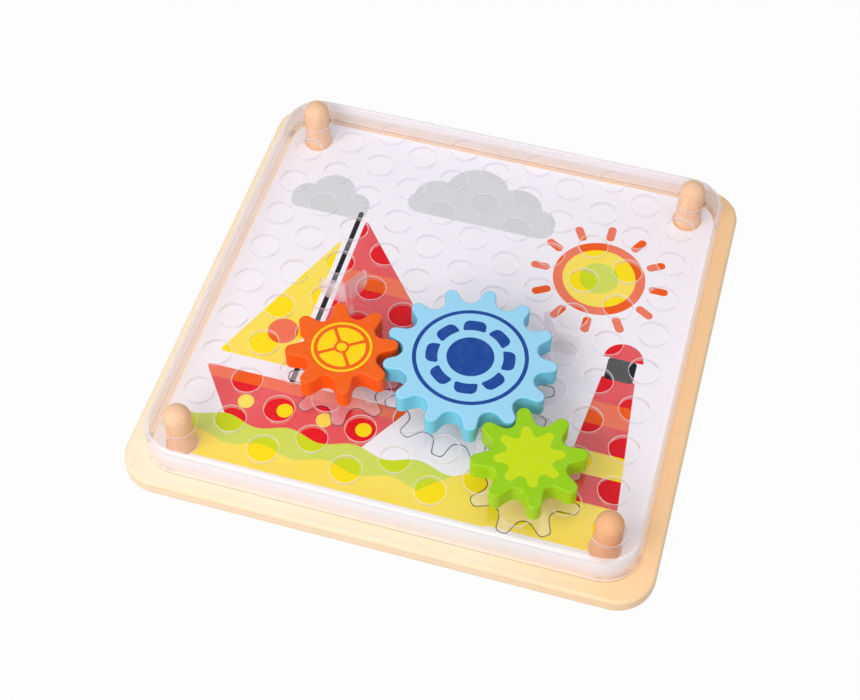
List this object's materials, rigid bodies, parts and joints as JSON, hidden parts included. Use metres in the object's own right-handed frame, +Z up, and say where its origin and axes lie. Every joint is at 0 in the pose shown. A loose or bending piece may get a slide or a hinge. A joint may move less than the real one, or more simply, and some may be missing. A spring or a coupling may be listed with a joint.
{
  "type": "gear board toy",
  "caption": "Square wooden board with a picture card under a clear cover of round holes, and toothed wooden gears that stand in the holes, mesh and turn each other.",
  "frame": {"origin": "centre of the base board's underside", "axes": "+Z up; +X to the right along the front edge and +Y to the back, as the picture is seen"},
  "size_m": [0.232, 0.232, 0.034],
  "materials": {
    "birch_plywood": "fine sanded, clear lacquer",
    "beech": "sanded, clear lacquer",
    "printed_card": "printed, matt",
    "clear_plastic": "clear, moulded, glossy",
    "orange_wood": "painted, satin",
    "blue_wood": "painted, satin",
    "green_wood": "painted, satin"
  },
  "bodies": {
    "base": {"base_board": "birch_plywood", "corner_peg_front_left": "beech", "corner_peg_front_right": "beech", "corner_peg_back_left": "beech", "corner_peg_back_right": "beech", "picture_card": "printed_card"},
    "cover": {"clear_cover": "clear_plastic"},
    "orange_pin": {"orange_pivot": "beech"},
    "orange_wheel": {"orange_gear": "orange_wood"},
    "blue_pin": {"blue_pivot": "beech"},
    "blue_wheel": {"blue_gear": "blue_wood"},
    "green_pin": {"green_pivot": "beech"},
    "green_wheel": {"green_gear": "green_wood"}
  },
  "joints": [
    {"name": "cover_lift", "type": "slide", "parent": "base", "child": "cover", "axis": [0, 0, 1], "range_m": [0, 0.03]},
    {"name": "orange_lift", "type": "slide", "parent": "cover", "child": "orange_pin", "axis": [0, 0, 1], "range_m": [0, 0.012]},
    {"name": "orange_spin", "type": "hinge", "parent": "orange_pin", "child": "orange_wheel", "pos_m": [-0.03637, -0.042, 0.023], "axis": [0, 0, 1], "continuous": true},
    {"name": "blue_lift", "type": "slide", "parent": "cover", "child": "blue_pin", "axis": [0, 0, 1], "range_m": [0, 0.012]},
    {"name": "blue_spin", "type": "hinge", "parent": "blue_pin", "child": "blue_wheel", "pos_m": [0.01819, -0.0315, 0.023], "axis": [0, 0, 1], "continuous": true},
    {"name": "green_lift", "type": "slide", "parent": "cover", "child": "green_pin", "axis": [0, 0, 1], "range_m": [0, 0.012]},
    {"name": "green_spin", "type": "hinge", "parent": "green_pin", "child": "green_wheel", "pos_m": [0.05456, -0.0735, 0.023], "axis": [0, 0, 1], "continuous": true}
  ],
  "couplings": [
    {"joint": "orange_spin", "follows": "blue_spin", "ratio": -1.625},
    {"joint": "green_spin", "follows": "blue_spin", "ratio": -1.625}
  ]
}
